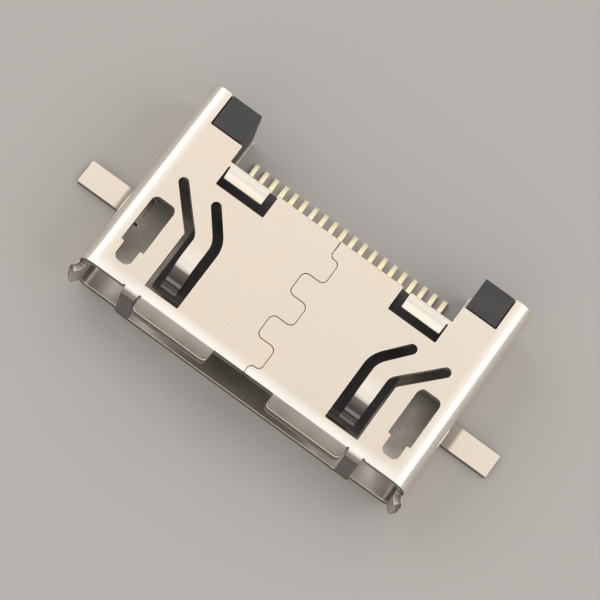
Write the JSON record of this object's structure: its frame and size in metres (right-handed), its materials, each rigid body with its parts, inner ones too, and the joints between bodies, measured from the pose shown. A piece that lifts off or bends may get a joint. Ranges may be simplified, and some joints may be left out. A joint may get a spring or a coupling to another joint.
{
  "type": "phone charging port",
  "caption": "Board-mount charging port for a phone: folded metal shell with spring fingers and a puzzle seam, black tongue and a row of gold contacts.",
  "frame": {"origin": "middle of the overall box, on the board face", "axes": "the mouth faces -Y, +X runs across the mouth, +Z points away from the board"},
  "size_m": [0.0164, 0.008, 0.0029],
  "materials": {
    "nickel_plate": "bright nickel plate on stamped sheet",
    "black_resin": "fine moulded texture",
    "gold_plate": "thin gold plate"
  },
  "bodies": {
    "root": {"shell": "nickel_plate", "housing": "black_resin", "contact_01": "gold_plate", "contact_02": "gold_plate", "contact_03": "gold_plate", "contact_04": "gold_plate", "contact_05": "gold_plate", "contact_06": "gold_plate", "contact_07": "gold_plate", "contact_08": "gold_plate", "contact_09": "gold_plate", "contact_10": "gold_plate", "contact_11": "gold_plate", "contact_12": "gold_plate", "contact_13": "gold_plate", "contact_14": "gold_plate", "contact_15": "gold_plate", "contact_16": "gold_plate", "contact_17": "gold_plate", "contact_18": "gold_plate", "contact_19": "gold_plate", "contact_20": "gold_plate"}
  },
  "joints": []
}
